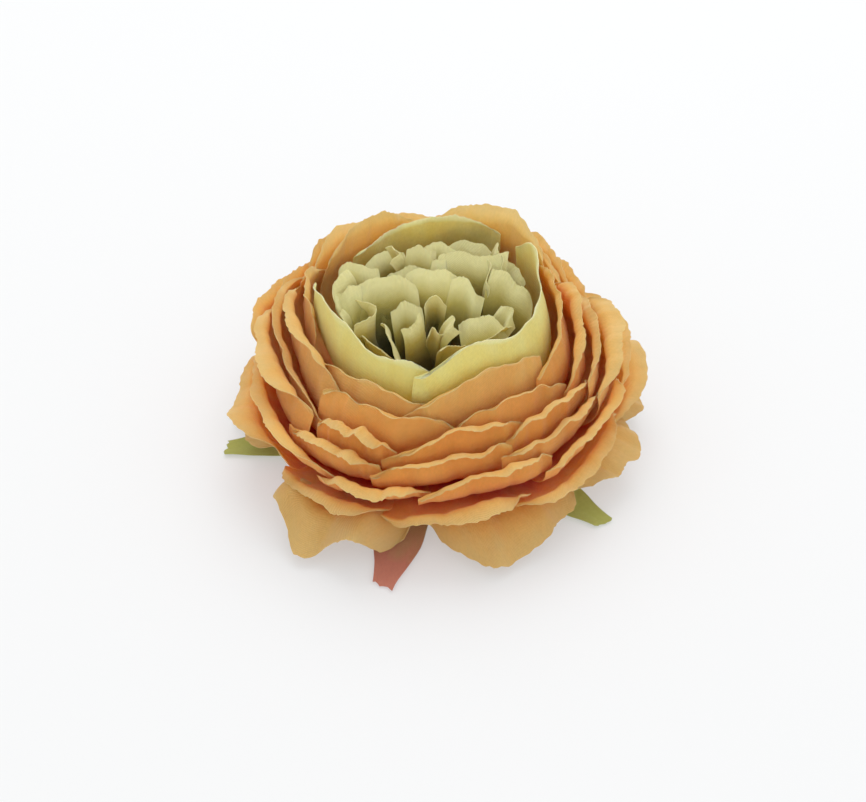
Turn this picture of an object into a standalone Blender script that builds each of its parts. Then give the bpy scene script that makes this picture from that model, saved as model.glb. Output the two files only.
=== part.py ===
# Fabric peony head: layers of shaped petals threaded on a moulded receptacle.
# Metres, +Z up. The origin is on the flower's axis, in the plane of its flat underside.
import math
import random

import bmesh
import bpy
import numpy as np

MM = 0.001

# Sheet and fits
BLADE = 0.62 * MM  # thickness of a petal as a solid
GAP = 0.3 * MM  # running gap between pieces threaded on the pin
DISC_THICK = 0.8 * MM
DISC_RADIUS = 6.5 * MM
PIN_RADIUS = 2.0 * MM
ROOT_RADIUS = 4.6 * MM  # a petal's root is sunk this deep into its disc

# Receptacle
BASE_RADIUS = 7.0 * MM  # flat resting spot
CUP_RADIUS = 9.0 * MM
CUP_HEIGHT = 4.0 * MM

# Levels of the threaded discs, counted upward from the receptacle's shoulder
LEVEL = DISC_THICK + GAP
LAYER_COUNT = 9  # sepals, seven peach layers, the green cup

# Petal grids: columns across a petal, rows up its body and rows over its lip
COLUMNS = 4
INNER_COLUMNS = 6  # on the wider petals of the inner layers
ROWS = 6
LIP_START = 4.0 / 6.0  # share of the rows that is body
LIP_BEND = 0.6  # share of the lip in which it turns over, the rest is nearly flat

RIM_SETTLE = 0.05  # share of the wall in which a raised rim turns upright
LIP_LEAST = 0.9 * MM  # length of the folded edge at a petal's corners

FLOOR_CLEARANCE = 0.3 * MM

# Peach layers from the outside in. Sizes in millimetres, angles in degrees.
# rim: wall radius and height of the fold of the rim. belly: how far out the bowl runs
# before it rises. bulge: how far the wall swells past the rim. lip: length of the
# folded edge. fall: how much lower a rim is at its ends. wave: ruffle of the rim.
# side: how far a petal passes outside one neighbour and inside the other.
# Each petal: first angle, last angle, lift of its rim, slope of its rim, turn of its lip from
# upright, how far its middle billows up between its corners, share of the layer's lip length.
PEACH_LAYERS = [
    dict(
        name="petal_layer_1",
        rim=(38.0, 8.0),
        belly=0.55, bulge=-8.0, lip=12.0, fall=4.0, wave=1.2, side=0.5,
        petals=(
            (215, 264, 2.5, -2, 122, 5.5, 1.15),
            (262, 327, 0, 0, 122, 0, 1.1),
            (317, 355, 3, 0, 105, 0, 1.0),
            (347, 30, 0, 0, 118, 0, 1.0),
            (24, 74, 0, 0, 118, 0, 1.0),
            (68, 119, 0, 0, 118, 0, 0.95),
            (111, 161, 0, 0, 116, 0, 1.0),
            (156, 206, -1.0, 0, 118, 0, 1.0)),
        # petal's place in the list: middle, width and length of a longer stretch of its lip
        reach={0: ((-0.22, 0.24, 8.0), (0.42, 0.36, -4.0)), 1: ((-0.15, 0.35, -2.2), (0.35, 0.25, -2.6))}),
    dict(
        name="petal_layer_2",
        rim=(43.2, 15.5),
        belly=0.70, bulge=-2.0, lip=5.2, fall=2.0, wave=0.9, side=0.9,
        petals=(
            (216, 255, -1.0, 1, 105, 0, 1.0),
            (252, 299, 0, 1.5, 105, 0, 1.0),
            (293, 345, 0, 0, 95, 0, 1.0),
            (339, 30, 0, 1.5, 100, 0, 1.2),
            (24, 78, 1, 0, 60, 0, 0.9),
            (72, 124, 1, 0, 60, 0, 1.0),
            (118, 168, 1, 0, 60, 0, 0.9),
            (162, 221, 0, 1.5, 100, 0, 1.2))),
    dict(
        name="petal_layer_3",
        rim=(41.6, 21.5),
        belly=0.69, bulge=1.4, lip=4.8, fall=2.5, wave=0.7, side=1.0,
        petals=(
            (233, 268, -0.5, 0, 105, 0, 1.0),
            (264, 311, 1.5, 1, 85, 0, 0.65),
            (306, 352, 1, 0, 80, 0, 0.9),
            (346, 38, 1.5, 1, 68, 0, 1.2),
            (32, 86, 2, 0, 50, 0, 0.9),
            (80, 134, 2, 0, 50, 0, 0.8),
            (128, 184, 2, 0, 50, 0, 0.9),
            (178, 239, 1, -1.5, 75, 0, 1.1))),
    dict(
        name="petal_layer_4",
        rim=(38.6, 26.5),
        belly=0.71, bulge=4.0, lip=4.5, fall=2.5, wave=0.7, side=1.0,
        petals=(
            (218, 253, -0.5, 0, 105, 0, 1.0),
            (250, 298, 0, 0.5, 85, 0, 0.52),
            (292, 340, 0, 0, 75, 0, 0.7),
            (334, 20, 4.4, 1.5, 80, 0, 1.5),
            (16, 68, 2, 0, 45, 0, 0.8),
            (62, 114, 2, 0, 45, 0, 0.7),
            (108, 166, 2, 0, 45, 0, 0.8),
            (160, 224, 2.5, 1.5, 88, 0, 1.3))),
    dict(
        name="petal_layer_5",
        rim=(35.4, 30.5),
        belly=0.74, bulge=4.9, lip=4.4, fall=4.0, wave=0.7, side=1.0,
        petals=(
            (227, 258, 0, -1, 105, 0, 1.0),
            (253, 306, 0, 1, 85, 0, 0.45),
            (296, 340, 0, 0, 70, 0, 0.75),
            (334, 28, 2.5, -1, 50, 0, 0.8),
            (24, 72, 3, 0, 45, 0, 0.8),
            (66, 112, 3, 0, 45, 0, 0.7),
            (106, 154, 5.0, 0, 40, 0, 1.0),
            (145, 233, 0, -2.5, 50, 0, 0.8))),
    dict(
        name="petal_layer_6",
        rim=(32.0, 33.5),
        belly=0.77, bulge=5.5, lip=3.2, fall=5.0, wave=0.7, side=1.0,
        petals=(
            (221, 281, 1, -2.5, 45, 0, 0.32),
            (275, 332, 0, 0, 50, 0, 0.42),
            (325, 25, 3.5, 2, 62, 0, 1.3),
            (19, 88, 3, 0, 40, 0, 0.8),
            (82, 159, 5.7, 1, 54, 0, 1.4),
            (155, 227, 2.5, 1, 62, 0, 1.4))),
    dict(
        name="petal_layer_7",
        rim=(28.5, 37.5),
        belly=0.80, bulge=6.2, lip=2.8, fall=4.0, wave=0.6, side=0.7,
        petals=(
            (188, 267, -2, 3.2, 45, 0, 0.6),
            (257, 322, 1.5, 3, 40, 0, 0.6),
            (315, 35, 2.5, 1, 40, 0, 0.8),
            (28, 104, 3.8, -2.2, 44, 0, 1.7),
            (98, 153, 6.5, 0, 18, 0, 1.1),
            (148, 196, 1.5, 0, 40, 0, 0.9))),
]
GREEN_CUP = dict(
    name="green_cup",
    rim=(24.8, 44.0),
    belly=0.84, bulge=5.2, lip=1.6, fall=3.4, wave=0.5, side=0.9,
    petals=(
        (172, 267, -0.9, 0, 24, 0, 1.6),
        (259, 400, 0.6, 1, 16, 0, 1.0),
        (57, 140, -0.9, 0, 14, 0, 1.0)),
    # petal's place in the list: middle, width and height of a raised stretch of its rim
    peaks={0: ((0.45, 0.35, -1.8),), 1: ((0.70, 0.22, 3.8), (1.0, 0.14, -3.5), (-0.66, 0.20, 3.4))})

# Sepals: direction of each, how far its tip reaches and half its greatest width
SEPALS = ((189, 50.5, 5.5), (257.0, 52.5, 6.0), (320, 50.0, 5.5), (40, 48.0, 5.5), (115, 48.0, 5.5))
SEPAL_TIP_SHARE = 0.22

# Heart: curled petals crowded inside the cup. Millimetres and degrees: x, y and height of the
# middle of the rim, half width, radius of the curl, direction that the hollow side faces,
# backward lean of the rim, drop of its corners, slope of the rim, roll of its side edges.
HEART_PETALS = (
    # round the hollow in the middle
    (-0.8, 6.4, 45.0, 6.4, 5.6, 265, 4.5, 2.4, 0.0, 0.8),
    (6.6, 2.6, 44.0, 5.0, 5.0, 252, 3.5, 1.8, -1.2, 1.2),
    (-6.9, -2.8, 42.3, 3.4, 3.2, 280, 2.4, 1.6, 0.0, 0.5),
    (-0.3, -2.4, 43.2, 2.4, 2.6, 276, -2.4, 1.6, 0.0, 0.0),
    (0.4, -11.2, 41.0, 2.5, 2.6, 95, 0.6, 1.8, 0.0, 0.2),
    (-11.0, -12.6, 41.5, 4.8, 4.2, 25, 0.8, 2.0, 1.0, 0.4),
    # left
    (-11.4, 4.0, 45.0, 7.4, 6.2, 276, 4.5, 2.8, 0.0, 0.6),
    (-16.4, 1.8, 44.0, 5.8, 6.0, 290, 3.4, 2.0, 0.6, 0.6),
    (-14.4, -5.4, 42.8, 4.8, 3.2, 178, -0.4, 1.4, -0.8, -1.6),
    (-21.4, -6.8, 41.2, 4.2, 6.0, 350, 1.2, 2.2, 0.6, 0.3),
    (-17.6, 8.0, 44.8, 5.0, 5.0, 282, 3.0, 1.6, 0.0, 0.6),
    (-22.0, 2.0, 44.6, 5.2, 9.0, 340, 1.2, 1.6, 0.6, 0.3),
    # back left
    (-9.8, 12.8, 45.4, 2.8, 4.0, 20, 0.8, 1.0, 0.0, 0.8),
    (-3.6, 14.4, 45.8, 3.4, 3.8, 268, 2.2, 2.0, 0.0, 0.4),
    (0.2, 17.2, 45.2, 5.6, 9.0, 268, 2.4, 2.4, 0.0, 0.3),
    # back right
    (8.8, 11.2, 46.0, 8.4, 14.0, 262, 3.8, 0.9, 0.8, 0.5),
    (12.6, 5.4, 45.2, 4.8, 3.2, 180, 0.4, 1.8, -1.6, 1.2),
    (18.6, 2.6, 43.9, 6.2, 8.0, 238, 3.0, 1.4, -3.2, 0.4),
    # right and front
    (10.0, -7.0, 41.8, 5.4, 5.0, 276, 3.0, 2.2, -0.6, 0.6),
    (14.4, -9.6, 40.4, 4.8, 6.0, 128, 0.8, 2.2, 0.6, 0.3),
    (6.4, -14.0, 39.8, 5.8, 11.0, 112, 1.0, 2.0, 0.8, 0.3),
    (-15.0, -12.6, 39.4, 4.8, 8.0, 52, 0.8, 2.0, -0.6, 0.3),
    # behind the others, seen from above and from the back
    (-12.6, 17.2, 42.0, 5.6, 9.0, 305, 1.6, 1.8, 0.0, 0.4),
    (9.0, 18.4, 42.0, 6.8, 10.0, 245, 1.8, 1.8, 0.0, 0.4),
    (19.6, 9.6, 42.4, 5.4, 8.0, 205, 1.4, 1.8, 0.0, 0.4),
)
HEART_FOOT_RADIUS = 6.0 * MM
HEART_DOME_HEIGHT = 5.8 * MM
HEART_ROOT_SHARE = 0.26  # how near the axis a petal's root lies, as a share of its rim's place
HEART_LIMIT = 22.8 * MM  # radius that the heart keeps inside
HEART_WIDE = 5.2  # half width above which a petal has four columns
HEART_ROWS = 3

# Slow wave of the whole cloth, which keeps the layers apart because it moves neighbours alike
WARP = 1.1 * MM
WARP_WAVE = 23.0 * MM
WARP_FROM = 9.0 * MM
WARP_TO = 26.0 * MM


def smooth(value, low, high):
    t = np.clip((value - low) / (high - low), 0.0, 1.0)
    return t * t * (3.0 - 2.0 * t)


def ripple(u, seed):
    # Sum of three seeded sines across a petal, within about -1 to 1
    draw = random.Random(seed)
    total = np.zeros_like(u)
    for count, share in ((1.1, 0.5), (2.1, 0.32), (3.4, 0.18)):
        total += share * np.sin(math.pi * count * u + draw.uniform(0, 2 * math.pi))
    return total


def warped(x, y, z):
    radius = np.hypot(x, y)
    amount = WARP * smooth(radius, WARP_FROM, WARP_TO)
    k = math.pi / WARP_WAVE
    dx = amount * np.sin(k * (y + 0.6 * z) + 0.7)
    dy = amount * np.sin(k * (x - 0.5 * z) + 2.1)
    dz = amount * 0.6 * np.sin(k * (x + y) * 0.8 + 4.0)
    low = smooth(z, 3.0 * MM, 12.0 * MM)
    return x + dx, y + dy, z + dz * low


def above_floor(x, y, z):
    # Lays low cloth on the floor, or on a sepal that lies there
    lowest = FLOOR_CLEARANCE + 0.5 * BLADE + 0.0 * x
    for direction, reach, half in SEPALS:
        at = math.radians(direction)
        along = x * math.cos(at) + y * math.sin(at)
        across = y * math.cos(at) - x * math.sin(at)
        near = np.exp(-((across / ((half + 2.0) * MM)) ** 4))
        near = near * smooth(along, 0.0, 20 * MM) * (1.0 - smooth(along, (reach + 1) * MM, (reach + 5) * MM))
        lowest = lowest + 1.7 * MM * near
    soft = 0.5 * MM
    return lowest + soft * np.logaddexp(0.0, (z - lowest) / soft)


def bowl(layer, foot_z, b):
    # Point and direction on the layer's bowl profile, for b from 0 at the foot to 1 at the rim
    wall_r, rim_z = layer["rim"][0] * MM, layer["rim"][1] * MM
    out, up = wall_r - ROOT_RADIUS, rim_z - foot_z
    corners = (
        (ROOT_RADIUS, foot_z),
        (ROOT_RADIUS + layer["belly"] * out, foot_z + 0.02 * up),
        (wall_r + layer["bulge"] * MM, foot_z + 0.42 * up),
        (wall_r, rim_z),
    )
    t = np.minimum(b, 1.0)
    beyond = np.maximum(b - 1.0, 0.0)
    place = []
    slope = []
    for axis in (0, 1):
        p0, p1, p2, p3 = (corner[axis] for corner in corners)
        along = (1 - t) ** 3 * p0 + 3 * (1 - t) ** 2 * t * p1 + 3 * (1 - t) * t**2 * p2 + t**3 * p3
        rate = 3 * ((1 - t) ** 2 * (p1 - p0) + 2 * (1 - t) * t * (p2 - p1) + t**2 * (p3 - p2))
        # Past the rim the wall soon turns upright
        kept = RIM_SETTLE * (1.0 - np.exp(-beyond / RIM_SETTLE)) if axis == 0 else beyond
        place.append(along + kept * rate)
        slope.append(rate * np.exp(-beyond / RIM_SETTLE) if axis == 0 else rate)
    speed = 3.0 * math.hypot(corners[3][0] - corners[2][0], corners[3][1] - corners[2][1])
    return place[0], place[1], np.arctan2(slope[1], slope[0]), speed


def petal_points(layer, foot_z, k, u, v):
    # u runs across the petal from -1 to 1, v from its root to the edge of its lip
    first, last, lift, slope, roll, billow, lip_share = layer["petals"][k]
    span = (last - first) % 360
    at = math.radians(first + 0.5 * span)
    seed = layer["name"] + str(k)
    speed = bowl(layer, foot_z, np.zeros(1))[3]
    rim = lift + slope * u - layer["fall"] * np.abs(u) ** 2.6 + 0.7 * ripple(u * 1.2, seed + "crest")
    for centre, wide, tall in layer.get("peaks", {}).get(k, ()):
        rim = rim + tall * np.exp(-(((u - centre) / wide) ** 2))
    body = np.clip(v / LIP_START, 0.0, 1.0) ** 1.3
    over = np.clip((v - LIP_START) / (1.0 - LIP_START), 0.0, 1.0)
    r, z, angle, _ = bowl(layer, foot_z, (1.0 + rim * MM / speed) * body)
    # The lip folds outward. It stays upright and short where a neighbour covers it.
    open_share = 1.0 - 0.75 * smooth(u, 0.55, 1.0) - 0.4 * smooth(-u, 0.75, 1.0)
    turn = (math.radians(roll) + angle.max() - 0.5 * math.pi) * open_share
    length = layer["lip"] * lip_share * MM * (0.45 + 0.55 * open_share)
    length = length * (1.0 + 0.25 * ripple(u, seed + "lip"))
    length = length * (1.0 - 0.78 * np.abs(u) ** 2.6)
    for centre, wide, more in layer.get("reach", {}).get(k, ()):
        length = length + more * MM * np.exp(-(((u - centre) / wide) ** 2))
    length = np.maximum(length, LIP_LEAST)
    bent = np.minimum(over / LIP_BEND, 1.0)
    flat = np.maximum(over - LIP_BEND, 0.0)
    bend = turn / (length * LIP_BEND)
    final = angle - turn * bent
    r = r + (np.sin(angle) - np.sin(final)) / bend + length * flat * np.cos(final)
    z = z + (np.cos(final) - np.cos(angle)) / bend + length * flat * np.sin(final)
    # Each petal passes outside its neighbour at its first edge and inside it at its last
    shift = -layer["side"] * MM * u * smooth(v, 0.28, 0.60)
    arch = billow * np.cos(1.9 * math.pi * (u - 0.3)) * (1.0 - smooth(np.abs(u), 0.65, 1.0))
    ruffle = layer["wave"] * ripple(u * 1.2, seed + "wave") - arch
    shift = shift + ruffle * MM * smooth(v, 0.45, 1.0)
    r = r + np.sin(final) * shift
    z = z - np.cos(final) * shift
    root_half = math.radians(180.0 / len(layer["petals"])) * 0.72
    half = root_half + (math.radians(0.5 * span) - root_half) * smooth(v, 0.05, 0.6)
    half = half * (1.0 - 0.05 * over**2)
    turned = at + u * half
    x, y, z = warped(r * np.cos(turned), r * np.sin(turned), z)
    return x, y, above_floor(x, y, z)


def sepal_points(sepal, foot_z, u, v):
    direction, reach, half = sepal
    wide = 0.35 + 0.65 * smooth(v, 0.0, 0.6)
    narrow = 1.0 - (1.0 - SEPAL_TIP_SHARE) * smooth(v, 0.66, 1.02)
    side = u * half * MM * wide * narrow
    r = ROOT_RADIUS + (reach * MM - ROOT_RADIUS) * (v + 0.02 * u * v)
    z = foot_z + (FLOOR_CLEARANCE + 0.5 * BLADE - foot_z) * smooth(v, 0.05, 0.9) + 0 * u
    at = math.radians(direction)
    return r * math.cos(at) - side * math.sin(at), r * math.sin(at) + side * math.cos(at), z


def below(value, limit, soft):
    # Value while it is well under the limit, then level with it
    return limit - soft * np.logaddexp(0.0, (limit - value) / soft)


def heart_points(petal, foot_z, u, v):
    x, y, top, half, curl, facing, lean, drop, slope, roll = petal
    seed = f"heart{x}{y}"
    rim = (top + slope * u - drop * np.abs(u) ** 2.8 + 0.8 * ripple(u * 0.7, seed)) * MM
    wide = 0.45 + 0.55 * smooth(v, 0.0, 0.62)
    # Upright below, then leaning back more and more
    back = np.clip((v - 0.35) / 0.65, 0.0, 1.0) ** 2
    # Cupped below, flatter and wider towards the rim
    cupped = (1.0 - 0.55 * smooth(v, 0.45, 1.0)) / curl
    side = np.sin(u * half * cupped) / cupped * wide
    depth = (1.0 - np.cos(u * half * cupped)) / cupped * wide + lean * (1.0 - back)
    depth = depth - roll * smooth(np.abs(u), 0.55, 1.0) * smooth(v, 0.45, 0.95) * 1.6
    depth = depth + 1.3 * ripple(u * 0.55 + 0.3 * v, seed + "flutter") * smooth(v, 0.3, 1.0)
    side = side + 0.6 * ripple(v * 0.9 + 0.2 * u, seed + "sway")
    out = HEART_ROOT_SHARE + (1.0 - HEART_ROOT_SHARE) * smooth(v, -0.25, 0.72)
    face = math.radians(facing)
    px = (x * out + depth * math.cos(face) - side * math.sin(face)) * MM
    py = (y * out + depth * math.sin(face) + side * math.cos(face)) * MM
    radius = np.hypot(px, py) + 1e-9
    limit = HEART_LIMIT * (0.5 + 0.5 * smooth(v, 0.0, 0.45))
    kept = np.maximum(below(radius, limit, 0.8 * MM), np.minimum(radius, 0.5 * MM))
    return warped(px * kept / radius, py * kept / radius, foot_z + (rim - foot_z) * v)


def material(name, colour, roughness):
    made = bpy.data.materials.new(name)
    made.use_nodes = True
    shader = made.node_tree.nodes["Principled BSDF"]
    shader.inputs["Base Color"].default_value = (*colour, 1.0)
    shader.inputs["Roughness"].default_value = roughness
    shader.inputs["Metallic"].default_value = 0.0
    return made


def link_to(collection, obj):
    for holder in list(obj.users_collection):
        holder.objects.unlink(obj)
    collection.objects.link(obj)


def blade(name, points, collection, columns, rows):
    # A grid bent by the function points(u, v), thickened to a closed blade
    bpy.ops.mesh.primitive_grid_add(x_subdivisions=columns, y_subdivisions=rows, size=2.0)
    obj = bpy.context.active_object
    obj.name = name
    mesh = obj.data
    flat = np.empty(len(mesh.vertices) * 3, np.float32)
    mesh.vertices.foreach_get("co", flat)
    flat = flat.reshape(-1, 3).astype(float)
    place = np.stack(points(flat[:, 0], (flat[:, 1] + 1.0) / 2.0), 1)
    mesh.vertices.foreach_set("co", place.astype(np.float32).ravel())
    shape = bmesh.new()
    shape.from_mesh(mesh)
    bmesh.ops.triangulate(shape, faces=shape.faces[:], quad_method="FIXED")
    shape.to_mesh(mesh)
    shape.free()
    skin = obj.modifiers.new("Solidify", "SOLIDIFY")
    skin.thickness = BLADE
    skin.offset = 0.0
    link_to(collection, obj)
    return obj


def turned(name, profile, collection, sides=20):
    # A profile of (radius, height) points, top to bottom down its outer side, turned round Z
    mesh = bpy.data.meshes.new(name)
    edges = [(i, i + 1) for i in range(len(profile) - 1)]
    if profile[0][0] > 0.0:
        edges.append((len(profile) - 1, 0))
    mesh.from_pydata([(r, 0.0, z) for r, z in profile], edges, [])
    obj = bpy.data.objects.new(name, mesh)
    collection.objects.link(obj)
    screw = obj.modifiers.new("Screw", "SCREW")
    screw.steps = sides
    screw.render_steps = sides
    screw.use_merge_vertices = True
    screw.merge_threshold = 0.02 * MM
    return obj


def threaded_disc(name, low, collection):
    inner = PIN_RADIUS + GAP
    high = low + DISC_THICK
    profile = [(inner, high), (DISC_RADIUS, high), (DISC_RADIUS, low), (inner, low)]
    return turned(name, profile, collection)


def join_blades(body, blades):
    union = body.modifiers.new("Union", "BOOLEAN")
    union.operation = "UNION"
    union.operand_type = "COLLECTION"
    union.collection = blades
    union.solver = "MANIFOLD"
    bpy.context.view_layer.update()
    graph = bpy.context.evaluated_depsgraph_get()
    fused = bpy.data.meshes.new_from_object(body.evaluated_get(graph))
    body.modifiers.clear()
    body.data = fused
    for obj in list(blades.objects):
        bpy.data.objects.remove(obj)
    fused.shade_smooth()
    fused.set_sharp_from_angle(angle=math.radians(40))


def level_of(index):
    # Underside of the disc that is threaded on at this place, 0 being the sepals
    return CUP_HEIGHT + GAP + index * LEVEL


def petal_layer(layer, index, flower, paint):
    low = level_of(index)
    body = threaded_disc(layer["name"], low, flower)
    blades = bpy.data.collections.new(layer["name"] + "_blades")
    bpy.context.scene.collection.children.link(blades)
    foot_z = low + 0.5 * DISC_THICK
    columns = COLUMNS if len(layer["petals"]) > 6 else INNER_COLUMNS
    for k in range(len(layer["petals"])):
        blade("petal_blade", lambda u, v: petal_points(layer, foot_z, k, u, v), blades, columns, ROWS)
    join_blades(body, blades)
    body.data.materials.clear()
    body.data.materials.append(paint)
    bpy.data.collections.remove(blades)
    return body


def sepal_layer(flower, paint):
    low = level_of(0)
    body = threaded_disc("sepals", low, flower)
    blades = bpy.data.collections.new("sepal_blades")
    bpy.context.scene.collection.children.link(blades)
    foot_z = low + 0.5 * DISC_THICK
    for sepal in SEPALS:
        blade("sepal_blade", lambda u, v: sepal_points(sepal, foot_z, u, v), blades, 2, 6)
    join_blades(body, blades)
    body.data.materials.clear()
    body.data.materials.append(paint)
    bpy.data.collections.remove(blades)
    return body


def receptacle(flower, paint):
    pin_top = level_of(LAYER_COUNT)
    shoulder = CUP_HEIGHT
    profile = [
        (0.0, pin_top),
        (PIN_RADIUS, pin_top),
        (PIN_RADIUS, shoulder),
        (CUP_RADIUS - 0.6 * MM, shoulder),
        (CUP_RADIUS, shoulder - 0.8 * MM),
        (CUP_RADIUS - 0.3 * MM, 1.2 * MM),
        (BASE_RADIUS, 0.0),
        (0.0, 0.0),
    ]
    body = turned("receptacle", profile, flower, 32)
    body.data.materials.append(paint)
    return body


def heart(flower, paint):
    low = level_of(LAYER_COUNT) + GAP
    top = low + HEART_DOME_HEIGHT
    profile = [
        (0.0, top),
        (0.45 * HEART_FOOT_RADIUS, top - 0.5 * MM),
        (0.92 * HEART_FOOT_RADIUS, top - 2.0 * MM),
        (HEART_FOOT_RADIUS, low + 1.0 * MM),
        (HEART_FOOT_RADIUS, low),
        (0.0, low),
    ]
    body = turned("heart_petals", profile, flower)
    blades = bpy.data.collections.new("heart_blades")
    bpy.context.scene.collection.children.link(blades)
    foot_z = low + 1.5 * MM
    for petal in HEART_PETALS:
        columns = 4 if petal[3] > HEART_WIDE else 3
        blade("heart_blade", lambda u, v: heart_points(petal, foot_z, u, v), blades, columns, HEART_ROWS)
    join_blades(body, blades)
    body.data.materials.clear()
    body.data.materials.append(paint)
    bpy.data.collections.remove(blades)
    return body


def main():
    for obj in list(bpy.data.objects):
        bpy.data.objects.remove(obj)
    flower = bpy.data.collections.new("peony")
    bpy.context.scene.collection.children.link(flower)
    peach = material("peach_fabric", (0.76, 0.42, 0.15), 0.85)
    green = material("green_fabric", (0.55, 0.52, 0.22), 0.85)
    leaf = material("sepal_fabric", (0.20, 0.27, 0.05), 0.8)
    moulded = material("receptacle_plastic", (0.16, 0.24, 0.06), 0.5)
    receptacle(flower, moulded)
    sepal_layer(flower, leaf)
    for index, layer in enumerate(PEACH_LAYERS, 1):
        petal_layer(layer, index, flower, peach)
    petal_layer(GREEN_CUP, len(PEACH_LAYERS) + 1, flower, green)
    heart(flower, green)


main()
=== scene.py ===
# Fabric peony head: fine petals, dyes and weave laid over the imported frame.
import math
import random

import bpy
import numpy as np
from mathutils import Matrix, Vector


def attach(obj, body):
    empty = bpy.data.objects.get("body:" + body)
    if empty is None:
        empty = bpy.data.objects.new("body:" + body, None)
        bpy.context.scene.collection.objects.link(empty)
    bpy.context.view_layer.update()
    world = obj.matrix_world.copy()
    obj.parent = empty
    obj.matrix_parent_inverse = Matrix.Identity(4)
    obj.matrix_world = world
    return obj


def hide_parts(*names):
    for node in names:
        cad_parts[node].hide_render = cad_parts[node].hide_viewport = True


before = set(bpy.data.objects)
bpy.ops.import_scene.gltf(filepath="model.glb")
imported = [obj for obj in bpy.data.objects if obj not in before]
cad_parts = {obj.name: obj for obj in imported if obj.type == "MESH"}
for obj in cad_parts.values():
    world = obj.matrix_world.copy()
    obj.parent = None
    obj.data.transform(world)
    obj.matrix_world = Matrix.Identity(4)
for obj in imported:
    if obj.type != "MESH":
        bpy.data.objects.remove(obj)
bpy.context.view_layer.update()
print("frame loaded,", len(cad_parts), "nodes")

mm = 0.001

# values shared by every petal
cloth = {
    "thickness": 0.14 * mm,  # stiffened cloth
    "solidThickness": 0.62 * mm,  # the frame's blades, used for the clearance over the floor
    "columns": 64,  # across a petal
    "bodyRows": 16,  # from the root to the fold
    "lipRows": 14,  # over the fold to the edge
    "crowding": 0.85,  # below 1 the columns stand closer towards the sides
    "rootCrowding": 1.3,  # above 1 the rows stand closer at the root
    "fray": 0.5,  # mm, unevenness of a cut edge
    "frayKnots": 61,
    "nickKnots": 15,
    "sideFray": 0.006,  # radians, unevenness of the side edges
    "sideKnots": 23,
    "crease": 0.02,  # mm, height of the pressed folds that run up a petal
    "fold": 0.35,  # mm, soft folds up a petal
    "flutter": 0.6,  # mm, small waves along the edge
    "crest": 0.7,  # mm, rise and fall of the rim
    "sideDrop": 2.6,  # power of the fall of the rim towards its sides
    "billowWaves": 1.9,
    "billowCentre": 0.3,
    "rootWidth": 0.72,  # share of its place round the pin that a root fills
    "lipNarrows": 0.05,
    "patternStep": 7.3,  # keeps the weave of one petal apart from the next
    "crispAngle": 55,  # degrees, edges sharper than this stay crisp
}
# waves finer than the frame's: waves across a petal, slant, and the stretch of it in which they grow
fineWaves = (
    ("flutter", 1.8, 0.3, 0.62, 1.0),
    ("crease", 9.0, 1.5, 0.1, 0.5),
    ("fold", 3.2, 0.4, 0.3, 0.7),
)
lipShape = {
    "start": 4.0 / 6.0,
    "bend": 0.6,  # share of the lip that is bent, the rest is flat
    "coveredSide": 0.75,  # share of its turn that it loses under a neighbour
    "openSide": 0.4,  # and at its other side
    "closedLength": 0.45,  # share of its length where it stays shut
    "uneven": 0.25,
    "sideLoss": 0.78,  # share of its length that it loses at the sides
    "shortest": 0.3 * mm,
}
threading = {
    "gap": 0.3 * mm,
    "discThick": 0.8 * mm,
    "discRadius": 6.5 * mm,
    "discEdge": 0.2 * mm,
    "pinRadius": 2.0 * mm,
    "rootRadius": 4.6 * mm,
    "cupHeight": 4.0 * mm,
    "settle": 0.05,  # share of the wall in which a raised rim turns upright
    "floorClearance": 0.3 * mm,
}
slowWave = {
    "height": 1.1 * mm,
    "inner": 9 * mm,  # distance from the axis at which it starts
    "outer": 26 * mm,
    "halfLength": 23 * mm,
    "liftShare": 0.6,
    "low": 3.0 * mm,  # heights between which it starts to lift the cloth
    "high": 12.0 * mm,
}


def smoothStep(value, low, high):
    t = np.clip((value - low) / (high - low), 0.0, 1.0)
    return t * t * (3.0 - 2.0 * t)


def ripple(u, seed):
    # three seeded sines, within about -1 to 1
    draw = random.Random(seed)
    total = np.zeros_like(u)
    for count, share in ((1.1, 0.5), (2.1, 0.32), (3.4, 0.18)):
        total += share * np.sin(math.pi * count * u + draw.uniform(0, 2 * math.pi))
    return total


def jagged(u, seed, knots):
    # seeded straight-line noise along an edge, -1 to 1
    draw = random.Random(seed)
    values = [draw.uniform(-1.0, 1.0) for _ in range(knots)]
    return np.interp(u, np.linspace(-1.02, 1.02, knots), values)


def warped(x, y, z):
    # slow wave of the whole cloth, the same for every layer
    radius = np.hypot(x, y)
    amount = slowWave["height"] * smoothStep(radius, slowWave["inner"], slowWave["outer"])
    k = math.pi / slowWave["halfLength"]
    dx = amount * np.sin(k * (y + 0.6 * z) + 0.7)
    dy = amount * np.sin(k * (x - 0.5 * z) + 2.1)
    dz = amount * slowWave["liftShare"] * np.sin(k * (x + y) * 0.8 + 4.0)
    return x + dx, y + dy, z + dz * smoothStep(z, slowWave["low"], slowWave["high"])


def levelOf(index):
    # underside of a threaded disc, 0 being the sepals
    return threading["cupHeight"] + threading["gap"] + index * (threading["discThick"] + threading["gap"])


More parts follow.
